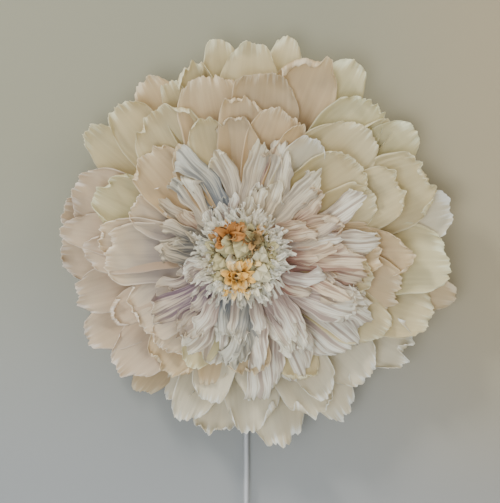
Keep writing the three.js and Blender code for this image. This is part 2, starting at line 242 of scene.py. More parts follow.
class FlowerColourSettings(bpy.types.PropertyGroup):
    ivory: colour_property("Ivory", "Warm white crepe", (229, 219, 183))
    blush: colour_property("Blush", "Faintly pink crepe", (230, 213, 178))
    mauve: colour_property("Mauve", "Faintly lilac crepe", (217, 200, 166))
    sage: colour_property("Sage", "Faintly green crepe", (231, 224, 188))
    pearl: colour_property("Pearl", "Cool white crepe", (234, 228, 209))
    mist: colour_property("Mist", "Pale grey pink crepe", (228, 213, 190))
    haze: colour_property("Haze", "Pale crepe with a grey lilac root", (242, 228, 202))
    snow: colour_property("Snow", "White frill paper", (249, 243, 226))
    milk: colour_property("Milk", "Brightest frill paper", (252, 248, 236))
    frost: colour_property("Frost", "Blue white frill paper", (234, 231, 219))
    lilac: colour_property("Lilac", "Lilac white frill paper", (243, 232, 215))
    dusk: colour_property("Dusk", "Grey blue frill paper", (238, 227, 206))
    rose: colour_property("Rose", "Pink white frill paper", (247, 234, 212))


class FlowerLeadSettings(bpy.types.PropertyGroup):
    diameter: length_property("Lead diameter", "Thickness of the mains lead", 6.8)
    turn_gap: length_property("Turn gap", "Air between two turns of the coil", 0.1)
    sheath: colour_property("Sheath", "Colour of the lead's sheath", (172, 175, 180))
    plastic: colour_property("Plastic", "Colour of the plug and the relief", (214, 214, 210))


class FlowerStageSettings(bpy.types.PropertyGroup):
    camera_distance: length_property("Camera distance", "From the wall to the camera", 1800)
    camera_side: length_property("Camera side", "Camera's place to the right of the axis", 10.8)
    camera_up: length_property("Camera height", "Camera's place above the axis", 7.4)
    wall: colour_property("Wall", "Colour of the painted wall", (141, 140, 122))


# Materials


class Nodes:
    """Short names for making and joining a node tree's nodes."""

    def __init__(self, tree):
        self.tree = tree

    def add(self, kind, **values):
        node = self.tree.nodes.new(kind)
        for name, value in values.items():
            setattr(node, name, value)
        return node

    def feed(self, value, socket):
        """Joins a socket to another node's output, or sets it to a number or a colour."""
        if isinstance(value, bpy.types.NodeSocket):
            self.tree.links.new(value, socket)
        else:
            socket.default_value = (*value, 1) if hasattr(value, "__len__") else value

    def math(self, operation, first, second):
        node = self.add("ShaderNodeMath", operation=operation)
        self.feed(first, node.inputs[0])
        self.feed(second, node.inputs[1])
        return node.outputs[0]

    def mix(self, factor, first, second, blend="MIX"):
        node = self.add("ShaderNodeMix", data_type="RGBA", blend_type=blend)
        for index, value in ((0, factor), (6, first), (7, second)):
            self.feed(value, node.inputs[index])
        return node.outputs[2]

    def ramp(self, factor, *stops):
        """Takes the first two stops smoothly to the last two."""
        node = self.add("ShaderNodeMapRange", interpolation_type="SMOOTHSTEP")
        for index, value in enumerate((factor, *stops)):
            self.feed(value, node.inputs[index])
        return node.outputs[0]

    def vector(self, kind, *values):
        """A vector node's outputs, with its inputs fed in order."""
        node = self.add(kind)
        for index, value in enumerate(values):
            self.feed(value, node.inputs[index])
        return node.outputs

    def noise(self, place, scale, detail, **values):
        node = self.add("ShaderNodeTexNoise", **values)
        self.feed(place, node.inputs["Vector"])
        node.inputs["Scale"].default_value = scale
        node.inputs["Detail"].default_value = detail
        return node.outputs[0]

    def bump(self, height, strength, distance):
        node = self.add("ShaderNodeBump")
        node.inputs["Strength"].default_value = strength
        node.inputs["Distance"].default_value = distance
        self.feed(height, node.inputs["Height"])
        return node.outputs[0]

    def place(self):
        return self.add("ShaderNodeTexCoord").outputs["Object"]

    def show_mix(self, factor, first, second):
        """Shows a mix of two shaders on the surface."""
        both = self.add("ShaderNodeMixShader")
        for index, value in enumerate((factor, first, second)):
            self.feed(value, both.inputs[index])
        self.feed(both.outputs[0], self.tree.nodes["Material Output"].inputs["Surface"])


def group_tree(name, inputs, outputs):
    """A new shader node group with named sockets, and its input and output nodes."""
    tree = bpy.data.node_groups.new(name, "ShaderNodeTree")
    for label, kind, default in inputs:
        socket = tree.interface.new_socket(label, in_out="INPUT", socket_type=kind)
        if default is not None:
            socket.default_value = default
    for label, kind in outputs:
        tree.interface.new_socket(label, in_out="OUTPUT", socket_type=kind)
    make = Nodes(tree)
    return make, make.add("NodeGroupInput"), make.add("NodeGroupOutput")


def crepe_group():
    """Crepe's crinkles: long streaks that run along the sheet, as a height and a shade; the shade
    darkens the colour as painted shade in the crinkles and also makes the dye wander.
    """
    name = "Crepe crinkle"
    if name in bpy.data.node_groups:
        return bpy.data.node_groups[name]
    make, given, out = group_tree(
        name,
        [
            ("Place", "NodeSocketVector", None),
            ("Crinkle Width", "NodeSocketFloat", 0.0016),
            ("Crinkle Length", "NodeSocketFloat", 0.045),
        ],
        [("Height", "NodeSocketFloat"), ("Shade", "NodeSocketFloat")],
    )
    wide, long = (given.outputs[label] for label in ("Crinkle Width", "Crinkle Length"))
    stretch = make.vector(
        "ShaderNodeCombineXYZ", make.math("DIVIDE", 1.0, wide), make.math("DIVIDE", 1.0, long)
    )
    place = make.add("ShaderNodeVectorMath", operation="MULTIPLY")
    make.feed(given.outputs["Place"], place.inputs[0])
    make.feed(stretch[0], place.inputs[1])
    fine = make.noise(place.outputs[0], 1.0, 2.0, noise_dimensions="2D")
    broad = make.noise(place.outputs[0], 0.24, 1.0, noise_dimensions="2D")
    height = make.math("ADD", fine, make.math("MULTIPLY", broad, 1.6))
    make.feed(height, out.inputs["Height"])
    make.feed(make.ramp(height, 0.9, 1.7, 0.0, 1.0), out.inputs["Shade"])
    return make.tree


def new_material(name):
    material = bpy.data.materials.new(name)
    material.use_nodes = True
    make = Nodes(material.node_tree)
    shader = material.node_tree.nodes["Principled BSDF"]
    return material, make, shader


# A crepe sheet's colour is uneven: its darker patches, in red, green and blue
MOTTLE_TINT = (0.94, 0.88, 0.79)


def paper_material(
    name, body, root, rim, fade, painted_crinkle_shade=0.06, see_through=0.45, depth=0.2, wander=0.3
):
    """A crepe sheet: coloured from its root to its rim, crinkled along its length, lit through; its
    darker root is dye on frills and mostly painted shade on petals and chips, its lighter rim
    partly painted highlight.
    """
    if name in bpy.data.materials:
        return bpy.data.materials[name]
    material, make, shader = new_material(name)
    blade = make.add("ShaderNodeUVMap", uv_map="Blade")
    across, up = make.vector("ShaderNodeSeparateXYZ", blade.outputs[0])[:2]
    sheet = make.add("ShaderNodeUVMap", uv_map="Sheet")
    crinkle = make.add("ShaderNodeGroup", node_tree=crepe_group())
    make.feed(sheet.outputs[0], crinkle.inputs["Place"])
    crinkled = crinkle.outputs["Shade"]
    mottle = make.noise(make.place(), 14.0, 3.0)
    # The root colour, dye on frill strips and painted shade on petals and chips, wanders along the
    # crinkles before it fades out
    wandered = make.math("MULTIPLY", make.math("SUBTRACT", crinkled, 0.5), wander)
    along = make.math("ADD", up, wandered)
    colour = make.mix(make.ramp(along, *fade, 0.0, 1.0), root, body)
    tint = scaled(body, *MOTTLE_TINT)
    colour = make.mix(make.ramp(mottle, 0.42, 0.7, 0.0, 0.7), colour, tint)
    # The rim is lighter near the tip and in a thin line down both sides: partly paler torn paper,
    # partly painted highlight where the rim catches the light
    side = make.math("ABSOLUTE", make.math("SUBTRACT", across, 0.5), 0.5)
    frayed = make.math("ADD", up, make.math("MULTIPLY", wandered, 1.2))
    tip = make.ramp(frayed, 0.945, 1.01, 0.0, 1.0)
    sides = make.math("MULTIPLY", make.ramp(side, 0.47, 0.5, 0.0, 0.8), along)
    colour = make.mix(make.math("MAXIMUM", tip, sides), colour, rim)
    # Painted shade: the colour darkens in streaks along the crinkles
    shade = make.ramp(crinkled, 0.0, 1.0, 1.0 - painted_crinkle_shade, 1.0)
    grey = make.vector("ShaderNodeCombineXYZ", shade, shade, shade)
    colour = make.mix(1.0, colour, grey[0], "MULTIPLY")
    make.feed(colour, shader.inputs["Base Color"])
    shader.inputs["Roughness"].default_value = 0.6
    shader.inputs["Specular IOR Level"].default_value = 0.35
    normal = make.bump(crinkle.outputs["Height"], 0.7, depth * MM)
    make.feed(normal, shader.inputs["Normal"])
    through = make.add("ShaderNodeBsdfTranslucent")
    make.feed(colour, through.inputs["Color"])
    make.feed(normal, through.inputs["Normal"])
    make.show_mix(see_through, shader.outputs[0], through.outputs[0])
    return material


def scaled(colour, red, green, blue):
    return tuple(c * share for c, share in zip(colour, (red, green, blue)))


# How each shade of paper darkens towards its root, in red, green and blue: mostly painted shade
# deep in the petal, and haze's grey lilac root is dye
PETAL_ROOT_DYE_AND_SHADE = {
    "ivory": (0.72, 0.65, 0.47),
    "blush": (0.76, 0.63, 0.5),
    "mauve": (0.7, 0.58, 0.5),
    "sage": (0.66, 0.62, 0.42),
    "pearl": (0.8, 0.77, 0.68),
    "mist": (0.78, 0.68, 0.62),
    "haze": (0.5, 0.48, 0.56),
}
FRILL_ROOTS = {
    "snow": (0.84, 0.78, 0.76),
    "milk": (0.76, 0.62, 0.62),
    "frost": (0.46, 0.5, 0.6),
    "lilac": (0.5, 0.4, 0.58),
    "dusk": (0.38, 0.4, 0.46),
    "rose": (0.58, 0.34, 0.34),
}


def petal_paper(shade):
    """The paper of one shade: petals fade to a warmer root, mostly painted shade, frill strips to a
    tinted, dyed one.
    """
    body = getattr(bpy.context.scene.flower_colours, shade)
    if shade in FRILL_ROOTS:
        root = scaled(body, *FRILL_ROOTS[shade])
        rim = scaled(body, 1.02, 1.05, 1.1)
        name = f"{shade} frill crepe"
        return paper_material(name, body, root, rim, (0.3, 1.0), 0.24, 0.6, 0.4, 0.6)
    # The petal's darker root is mostly painted shade deep in the petal
    root = scaled(body, *PETAL_ROOT_DYE_AND_SHADE[shade])
    # The lighter rim is partly paler paper, partly painted highlight
    rim = scaled(body, 1.14, 1.22, 1.42)
    name = f"{shade} petal crepe"
    return paper_material(name, body, root, rim, (0.4, 1.05), 0.02, 0.45, 0.08, 0.06)


def plain_material(name, colour, roughness, scale, spread=0.12, metallic=0.0, depth=0.08 * MM):
    """A moulded, cast or sawn finish: a colour that drifts a little, with fine bumps."""
    if name in bpy.data.materials:
        return bpy.data.materials[name]
    material, make, shader = new_material(name)
    grain = make.noise(make.place(), scale, 4.0)
    darker = scaled(colour, 1 - spread, 1 - spread, 1 - spread)
    make.feed(make.mix(grain, colour, darker), shader.inputs["Base Color"])
    rough = make.ramp(grain, 0.3, 0.7, roughness * 0.85, min(1, roughness * 1.15))
    make.feed(rough, shader.inputs["Roughness"])
    shader.inputs["Metallic"].default_value = metallic
    make.feed(make.bump(grain, 0.4, depth), shader.inputs["Normal"])
    return material


PLY_THICK = 1.5 * MM


def plywood_material():
    """Birch plywood: grain along the sheet, and the plies and glue lines on its edge."""
    material, make, shader = new_material("Birch plywood")
    stretched = make.add("ShaderNodeMapping")
    make.feed(make.place(), stretched.inputs["Vector"])
    stretched.inputs["Scale"].default_value = (6, 40, 90)
    grain = make.noise(stretched.outputs[0], 1.0, 5.0)
    pale, dark = linear(206, 176, 132), linear(166, 130, 86)
    wood = make.mix(make.ramp(grain, 0.3, 0.7, 0.0, 1.0), pale, dark)
    depth = make.vector("ShaderNodeSeparateXYZ", make.place())[1]
    ply = make.math("FRACT", make.math("MULTIPLY", depth, 1 / PLY_THICK), 0)
    glue = make.ramp(ply, 0.82, 0.95, 0.0, 0.6)
    make.feed(make.mix(glue, wood, linear(96, 66, 40)), shader.inputs["Base Color"])
    make.feed(make.ramp(grain, 0.3, 0.7, 0.6, 0.8), shader.inputs["Roughness"])
    make.feed(make.bump(grain, 0.4, 0.1 * MM), shader.inputs["Normal"])
    return material


def finish_node(name, material):
    """Gives a CAD node that stays its own finish."""
    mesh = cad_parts[name].data
    mesh.materials.clear()
    mesh.materials.append(material)


# Objects


def add_object(name, data):
    made = bpy.data.objects.new(name, data)
    bpy.context.scene.collection.objects.link(made)
    return made


def mesh_object(name, bm, *materials):
    mesh = bpy.data.meshes.new(name)
    bm.to_mesh(mesh)
    bm.free()
    for material in materials:
        mesh.materials.append(material)
    return add_object(name, mesh)


def declare(made, nodes=()):
    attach(made, BODY)
    if nodes:
        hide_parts(*nodes)


# Sheets


class SheetMesh:
    """Sheets of paper that are joined in one mesh: each starts as a flat grid."""

    def __init__(self):
        self.bm = bmesh.new()
        self.blade = self.bm.loops.layers.uv.new("Blade")
        self.sheet = self.bm.loops.layers.uv.new("Sheet")

    def lay(self, columns, rows, place_at, wide, long, shade=0):
        """Adds a grid and moves each point to place_at(side, along), side from -1 to 1."""
        made = bmesh.ops.create_grid(self.bm, x_segments=columns, y_segments=rows, size=0.5)
        # Rows lie closer together towards the tip, where the paper is crimped
        flat = {vert: (-2 * vert.co.x, 1 - (0.5 - vert.co.y) ** 1.5) for vert in made["verts"]}
        faces = {face for vert in made["verts"] for face in vert.link_faces}
        for face in faces:
            face.smooth = True
            face.material_index = shade
            for loop in face.loops:
                side, along = flat[loop.vert]
                loop[self.blade].uv = ((side + 1) / 2, along)
                loop[self.sheet].uv = (side * wide / 2, along * long)
        for vert, (side, along) in flat.items():
            vert.co = place_at(side, along)

    def piece(self, name, slot, materials, thick, nodes=()):
        made = mesh_object(name, self.bm, *materials)
        wall = made.modifiers.new("Paper thickness", "SOLIDIFY")
        wall.thickness = thick
        wall.offset = -1
        declare(made, nodes)


def smooth(value):
    value = max(0.0, min(1.0, value))
    return value * value * (3 - 2 * value)


def layer_height(level, radius):
    """Height off the wall of a layer at a distance from the axis."""
    paper = bpy.context.scene.flower_paper
    lean = paper.dish_rise * (radius / paper.dish_radius) ** 2
    return paper.first_ring + (level - 1) * paper.ring_spacing + lean


# Share of the widest span that a petal's root has, and how its tip closes
ROOT_SHARE = 0.3
TIP_NARROW = 0.2
# Petals of one ring lie a little over each other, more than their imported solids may
OVERLAP = 1.08
# Size of a sheet's grid cells in millimetres: across a petal, along it, and across a strip
PETAL_CELL, PETAL_STEP, STRIP_CELL = 1.7, 6.5, 1.3


def blade_share(along):
    swell = math.sin(math.pi / 2 * min(1, along / 0.75))
    tip = max(0, (along - 0.78) / 0.22)
    return (ROOT_SHARE + (1 - ROOT_SHARE) * swell) * (1 - TIP_NARROW * tip**2)


def ripple(shift, x, y=0.0, z=0.0):
    """Smooth noise, from -1 to 1, at a place that is shifted for each sheet."""
    return noise.noise(shift + Vector((x, y, z)))


def any_shift(draw):
    return Vector([draw.uniform(0, 90) for _ in range(3)])


def roll_over(angle, rolled, roll_length):
    """How much reach a rim loses, and how far it lifts, when it rolls over on itself.

    angle is the whole turn over roll_length; rolled is how far past its start a point lies.
    """
    roll = angle * rolled / roll_length
    if abs(roll) < 1e-4:
        return 0.0, 0.0
    short = rolled - roll_length * math.sin(roll) / angle
    return short, roll_length * (1 - math.cos(roll)) / angle


def turned_point(turn, reached, offset, height):
    """The scene's point at a reach along a direction, offset to its side, off the wall."""
    x = reached * math.cos(turn) - offset * math.sin(turn)
    z = reached * math.sin(turn) + offset * math.cos(turn)
    return Vector((x, -height, z))


# How fast a petal's rim frays from side to side, in waves per metre: tears, teeth and hairs
FRAY_WAVES = (55, 170, 420)
# How far in from the tip and from the sides the crimps reach
TIP_CRIMP = 6.5 * MM
SIDE_CRIMP = 22 * MM


def petal_place(level, direction, reach, span, ragged, seed):
    """Where the points of one petal's sheet go."""
    paper = bpy.context.scene.flower_paper
    draw = random.Random(seed)
    turn = math.radians(direction + draw.uniform(-1.2, 1.2))
    root = CORE_RADIUS + SEAT_GAP
    tilt = draw.choice((-1, 1)) * draw.uniform(4.0, 9.0) * MM
    rise = draw.uniform(0.25, 0.95)
    bend = draw.uniform(-0.05, 0.05)
    curl_from = draw.uniform(0.88, 0.93)
    curl = draw.choice((0.5, 1.0, 1.9, 2.3, -0.5)) * draw.uniform(0.8, 1.15)
    belly = draw.uniform(0.35, 0.8)
    lean = draw.uniform(-0.3, 0.3)
    tip_round = draw.uniform(0.07, 0.16)
    shift = any_shift(draw)
    length = reach - root
    roll_length = (1 - curl_from) * length

    def place(side, along):
        skewed = side + lean * (1 - side**2)
        rounding = 1 - tip_round * abs(skewed) ** 3 * along**2
        lateral, far = side * span / 2, along * length
        coarse, teeth, hairs = (
            ripple(shift, lateral * waves, row) for waves, row in zip(FRAY_WAVES, (0, 5, 8))
        )
        tear = ragged * (2.2 * coarse + 0.9 * teeth + 0.7 * hairs) - 0.3
        reached = root + far * rounding + paper.ragged * tear * along**10
        waver = 1 + 0.12 * ripple(shift, side, along * 5, 9) * smooth(along * 2)
        offset = lateral * blade_share(along) * waver + bend * length * along**2
        # The rim rolls over from where the curl starts, in some places more than in others
        angle = curl * max(0.12, 0.75 + 2.2 * coarse)
        short, lift = roll_over(angle, max(0.0, along - curl_from) * length, roll_length)
        reached -= short
        to_tip = math.exp(-(1 - along) * length / TIP_CRIMP)
        to_side = math.exp(-(1 - abs(side)) * span / SIDE_CRIMP) * smooth((along - 0.3) * 2)
        wave = ripple(shift, lateral * 80, far * 14, 3)
        crimp = ripple(shift, lateral * 230, far * 22, 4)
        ruffle = (0.6 + 0.4 * ragged) * max(to_tip, 0.5 * to_side) * (2.4 * wave + crimp)
        folds = ripple(shift, lateral * 34, far * 8, 6) * smooth(along * 3)
        cup = 0.7 * belly * side**2 * math.sin(math.pi * along) + rise * along**4
        height = (
            layer_height(level, math.hypot(reached, offset))
            + paper.ring_spacing * 0.8 * cup
            + tilt * side * smooth(along * 2)
            + paper.ruffle * ruffle
            + paper.fold * folds
            + lift
        )
        return turned_point(turn, reached, offset, height)

    return place


def petal_piece(name, slot, level, shape, seed, nodes=()):
    direction, reach, span, shade, ragged = shape
    span *= OVERLAP
    columns = max(16, round(span / PETAL_CELL))
    rows = max(20, round((reach - CORE_RADIUS / MM) / PETAL_STEP))
    made = SheetMesh()
    place = petal_place(level, direction, reach * MM, span * MM, ragged, seed)
    made.lay(columns, rows, place, span * MM, reach * MM)
    thick = bpy.context.scene.flower_paper.sheet_thick
    made.piece(name, slot, [petal_paper(shade)], thick, nodes)


class FLOWER_OT_ring_petals(bpy.types.Operator):
    """Three rings of broad petals, from the wall outwards"""

    bl_idname = "flower.ring_petals"
    bl_label = "Petal Rings"

    def execute(self, context):
        for level, (ring, petals) in enumerate(RINGS.items(), 1):
            for index, shape in enumerate(petals):
                node = f"{ring}_petal_{index + 1:02d}"
                seed = 100 * level + index
                petal_piece(f"paper_{node}", f"{ring}_petals", level, shape, seed, [node])
        return {"FINISHED"}


class FLOWER_OT_loose_petals(bpy.types.Operator):
    """Narrow petals that fill the gaps between the rings, and the short ring round the heart"""

    bl_idname = "flower.loose_petals"
    bl_label = "Loose Petals"

    def execute(self, context):
        slots = [f"{ring}_petals" for ring in RINGS]
        for kind, petals, seed in (("loose", LOOSE_PETALS, 400), ("heart", HEART_PETALS, 500)):
            for index, (level, *shape) in enumerate(petals):
                name = f"{kind}_petal_{index + 1:02d}"
                slot = slots[min(int(level), len(slots)) - 1]
                petal_piece(name, slot, level, shape, seed + index)
        return {"FINISHED"}


# How far a strip's middle line sways
STRIP_WANDER = 4 * MM


def strip_place(level, direction, reach, span, seed):
    """Where the points of one pleated frill strip go."""
    paper = bpy.context.scene.flower_paper
    draw = random.Random(seed)
    turn = math.radians(direction)
    root = CORE_RADIUS + SEAT_GAP
    length = reach - root
    bend = draw.uniform(-0.34, 0.34)
    twist = draw.uniform(-0.6, 0.6)
    rise = draw.uniform(0.02, 0.15)
    curl = draw.choice((1, 1, -0.6)) * draw.uniform(0.8, 2.6)
    curl_from = draw.uniform(0.78, 0.9)
    skew = draw.uniform(-0.12, 0.12)
    shift = any_shift(draw)
    roll_length = (1 - curl_from) * length

    def place(side, along):
        lateral, far = side * span / 2, along * length
        coarse = ripple(shift, lateral * 90)
        teeth = ripple(shift, lateral * 330, 4)
        torn = paper.ragged * (4.5 * coarse + 2.4 * teeth - 0.4) * along**8
        tip = 1 - (0.14 * side**2 - skew * side) * along**4
        narrow = 0.3 + 0.7 * math.sin(math.pi / 2 * min(1, along / 0.9))
        loose = smooth(along * 2)
        waver = 1 + 0.35 * ripple(shift, side, along * 6, 9) * loose
        wander = STRIP_WANDER * ripple(shift, 0, along * 3.5, 12) * loose
        wide = lateral * narrow * waver
        offset = wide * math.cos(twist * along) + bend * length * along**2 + wander
        angle = curl * max(0.2, 0.9 + 1.5 * coarse)
        short, lift = roll_over(angle, max(0.0, along - curl_from) * length, roll_length)
        reached = root + far * tip + torn - short
        pleats = ripple(shift, lateral * 260, far * 9, 3)
        waves = ripple(shift, lateral * 70, far * 30, 2)
        height = (
            layer_height(level, math.hypot(reached, offset))
            + wide * math.sin(twist * along) * 0.7
            + rise * length * smooth((along - 0.3) / 0.7)
            + paper.pleat * (1.3 * pleats + 2.2 * waves * along) * smooth(along * 4)
            + lift
        )
        return turned_point(turn, reached, offset, height)

    return place


# Long strips from this level up belong to the upper frill
UPPER_LEVEL = 4.5
# Strips that fill each frill: how many, their level, and their shortest and longest reach
SHORT_STRIPS = [("lower_frill", 20, 4.1, 112, 168), ("upper_frill", 26, 4.7, 92, 142)]
# The shade of the frills round the heart, each up to a direction in degrees
FRILL_SIDES = [
    (-122, "lilac"),
    (-76, "frost"),
    (-42, "milk"),
    (58, "rose"),
    (98, "snow"),
    (135, "frost"),
    (150, "rose"),
    (174, "dusk"),
    (180, "snow"),
]


def frill_shade(direction):
    wrapped = (direction + 180) % 360 - 180
    return next(shade for limit, shade in FRILL_SIDES if wrapped <= limit)


class FLOWER_OT_frills(bpy.types.Operator):
    """Two frills of pleated strips round the heart"""

    bl_idname = "flower.frills"
    bl_label = "Frills"

    def execute(self, context):
        shades = list(FRILL_ROOTS)
        draw = random.Random(7)
        strips = {"lower_frill": [], "upper_frill": []}
        for row in LONG_STRIPS:
            strips["lower_frill" if row[3] < UPPER_LEVEL else "upper_frill"].append(row)
        for frill, count, level, short, far in SHORT_STRIPS:
            for index in range(count):
                direction = 360 * index / count + draw.uniform(-6, 6)
                lobe = 0.88 + 0.2 * math.cos(math.radians(direction + 25))
                reach = draw.uniform(short, far) * lobe
                shade = draw.choice(("milk", frill_shade(direction), frill_shade(direction)))
                height = level + draw.uniform(-0.1, 0.2)
                strips[frill].append((direction, reach, draw.uniform(14, 27), height, shade))
        thick = context.scene.flower_paper.sheet_thick * 0.7
        for frill, rows in strips.items():
            made = SheetMesh()
            for index, (direction, reach, span, level, shade) in enumerate(rows):
                seed = 1000 + 100 * (frill == "upper_frill") + index
                place = strip_place(level, direction, reach * MM, span * MM, seed)
                columns = max(12, round(span / STRIP_CELL))
                made.lay(columns, 22, place, span * MM, reach * MM, shades.index(shade))
            papers = [petal_paper(shade) for shade in shades]
            made.piece(f"paper_{frill}", "crepe_frill", papers, thick, [frill])
        return {"FINISHED"}


# Heart

FORWARD = Vector((0, -1, 0))


def flat_direction(turn):
    return Vector((math.cos(turn), 0, math.sin(turn)))


def add_chip(
    made, place, out, length, width, lean, curl, hollow, shade,
    grid=(4, 6), crumple=0, pointed=False,
):
    """A small curled leaf of paper.

    It leaves its place at lean from straight forward and bends by curl towards out, with its
    sides turned in by hollow. crumple is how far its skin wanders, as a share of its length.
    """
    across = out.cross(FORWARD)
    shift = place * 400 + out * 7

    def point(side, along):
        angle = lean + curl * along
        rise = length * (math.sin(angle) - math.sin(lean)) / curl
        run = length * (math.cos(lean) - math.cos(angle)) / curl
        low, far, blunt = (0.2, 0.77, 0.9) if pointed else (0.12, 0.8, 0.6)
        outline = math.sin(math.pi * (low + far * along)) ** blunt
        offset = side * width / 2 * outline * (0.45 + 0.55 * smooth(along * 2.5))
        inward = math.sin(angle) * FORWARD - math.cos(angle) * out
        turned_in = hollow * width * (abs(side) ** 1.3 if pointed else side**2) * outline
        flat = place + rise * FORWARD + run * out + offset * across + turned_in * inward
        if not crumple:
            return flat
        spot = shift + Vector((side * 1.6, along * 2.2, 0))
        creased = Vector([ripple(spot, 0, 0, 40 * axis) for axis in range(3)])
        return flat + crumple * length * smooth(along * 2) * creased

    made.lay(*grid, point, width, length, shade)


# Layers of the fringe, from the outside in: distance of the roots from the axis and height of
# the roots off the pad's face, strip length and width in millimetres, lean, and how many
FRINGE_LAYERS = [
    (44, -5, 27, 4.6, 1.4, 96),
    (43, -2, 23, 5.2, 1.25, 84),
    (41, 0.4, 20, 6.0, 1.1, 58),
    (38, 0.6, 14, 7.0, 0.95, 36),
]

# What fills the heart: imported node, slot, papers, how many chips, their length and width in
# millimetres, and how far they lean out at the rim of the tuft
HEART_TUFTS = [
    ("upper_tuft", "rust_tuft", ("rust", "rust", "tan"), 17, 19, 14, 1.2),
    ("side_tuft", "rust_tuft", ("brown", "olive", "brown", "tan"), 16, 16, 11, 1.1),
    ("lower_tuft", "amber_tuft", ("amber", "amber", "peach", "amber"), 25, 18, 11, 1.25),
]
HEART_SHADES = {
    "rust": (200, 140, 76),
    "tan": (224, 184, 126),
    "brown": (148, 124, 82),
    "olive": (190, 178, 132),
    "amber": (255, 210, 116),
    "peach": (255, 228, 166),
    "cream": (252, 245, 220),
    "celery": (212, 202, 156),
    "mint": (228, 221, 188),
}
# Chips follow each other round a tuft at this angle, as seeds do in a seed head
LEAF_TURN = 2.4
# How much of its packed box a tuft's roots take up
TUFT_SPREAD = 0.72
# Small chips that fill the rest of the pad
FILLER_COUNT = 130
FILLER_REACH = 42 * MM
FILLER_SHADES = ("olive", "brown", "celery", "olive")
CHIP_THICK = 0.3 * MM
WARM_SHADES = ("rust", "amber", "tan")
# How chips darken towards their roots, in red, green and blue: painted shade deep in the tufts
WARM_ROOT_SHADE = (0.56, 0.38, 0.2)
CHIP_ROOT_SHADE = (0.6, 0.5, 0.37)
# Pods, each three shells of paper that lie on the pad and face forward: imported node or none,
# middle x z in millimetres, paper, length, width, and the way it points in degrees
PODS = [
    ("carpel_1", -21, 13, "celery", 29, 25, 205),
    ("carpel_2", -1, 11, "celery", 29, 26, 250),
    ("carpel_3", 27, -22, "mint", 29, 24, -40),
    (None, 25, 3, "mint", 26, 21, 80),
    (None, -29, -8, "celery", 25, 20, 230),
    (None, -30, -26, "celery", 16, 13, 215),
    (None, 19, -36, "mint", 19, 12, -75),
    (None, 36, -10, "celery", 16, 12, -20),
]
# A pod's shells: how each is turned, leans and curls, and its share of the pod's size
POD_SHELLS = ((0.5, 0.2, 1.1, 0.85), (-0.45, 0.3, 1.0, 0.8), (0, 0.5, 1.35, 1.0))
# Single larger chips: place on the pad x z in millimetres, paper, length, width, heading
HEART_CHIPS = [
    (-11, -1, "cream", 13, 12, 220),
    (9, -2, "cream", 14, 9, 280),
    (17, -6, "peach", 12, 9, 340),
    (12, 32, "olive", 15, 11, 100),
    (-36, 14, "celery", 15, 12, 160),
    (-34, 24, "tan", 14, 11, 140),
    (36, 12, "celery", 15, 12, 30),
    (2, 38, "celery", 13, 12, 90),
    (-17, -38, "amber", 17, 8, 250),
    (-9, -40, "peach", 20, 7, 262),
    (-2, -40, "cream", 20, 8, 270),
    (6, -40, "peach", 19, 8, 280),
    (15, -38, "cream", 19, 9, 292),
    (28, -32, "cream", 18, 10, 310),
    (-24, -34, "cream", 15, 9, 235),
]


def heart_papers():
    papers = []
    for shade, screen in HEART_SHADES.items():
        body = linear(*screen)
        # Painted shade: each chip darkens towards its root
        root = scaled(body, *(WARM_ROOT_SHADE if shade in WARM_SHADES else CHIP_ROOT_SHADE))
        rim = scaled(body, 1.06, 1.08, 1.12)
        name = f"{shade} chip paper"
        papers.append(paper_material(name, body, root, rim, (0.05, 0.55), 0.14, 0.25, 0.3))
    return papers


def paper_number(shade):
    """The place of a shade among the heart's papers."""
    return list(HEART_SHADES).index(shade)


class FLOWER_OT_fringe(bpy.types.Operator):
    """The fringe of cut stamens round the heart"""

    bl_idname = "flower.fringe"
    bl_label = "Stamen Fringe"

    def execute(self, context):
        cream = linear(255, 254, 247)
        root = scaled(cream, 0.98, 0.95, 0.82)
        paper = paper_material("Cream fringe paper", cream, root, cream, (0.05, 0.5), 0.02, 0.66)
        draw = random.Random(21)
        made = SheetMesh()
        for radius, height, length, width, lean, count in FRINGE_LAYERS:
            for index in range(count):
                turn = 2 * math.pi * (index + draw.uniform(-0.45, 0.45)) / count
                far = (radius + draw.uniform(-2.5, 1.5)) * MM
                place = far * flat_direction(turn) + (HEART_FOOT + height * MM) * FORWARD
                heading = flat_direction(turn + draw.uniform(-0.7, 0.7))
                long = length * draw.uniform(0.7, 1.2) * MM
                wide = width * draw.uniform(0.4, 1.4) * MM
                start = lean + draw.uniform(-0.5, 0.2)
                curl = draw.uniform(-1.1, 0.6)
                add_chip(made, place, heading, long, wide, start, curl, 0.3, 0, (3, 8), 0.16, True)
        made.piece("paper_stamen_fringe", "stamen_fringe", [paper], 0.25 * MM, ["stamen_fringe"])
        return {"FINISHED"}


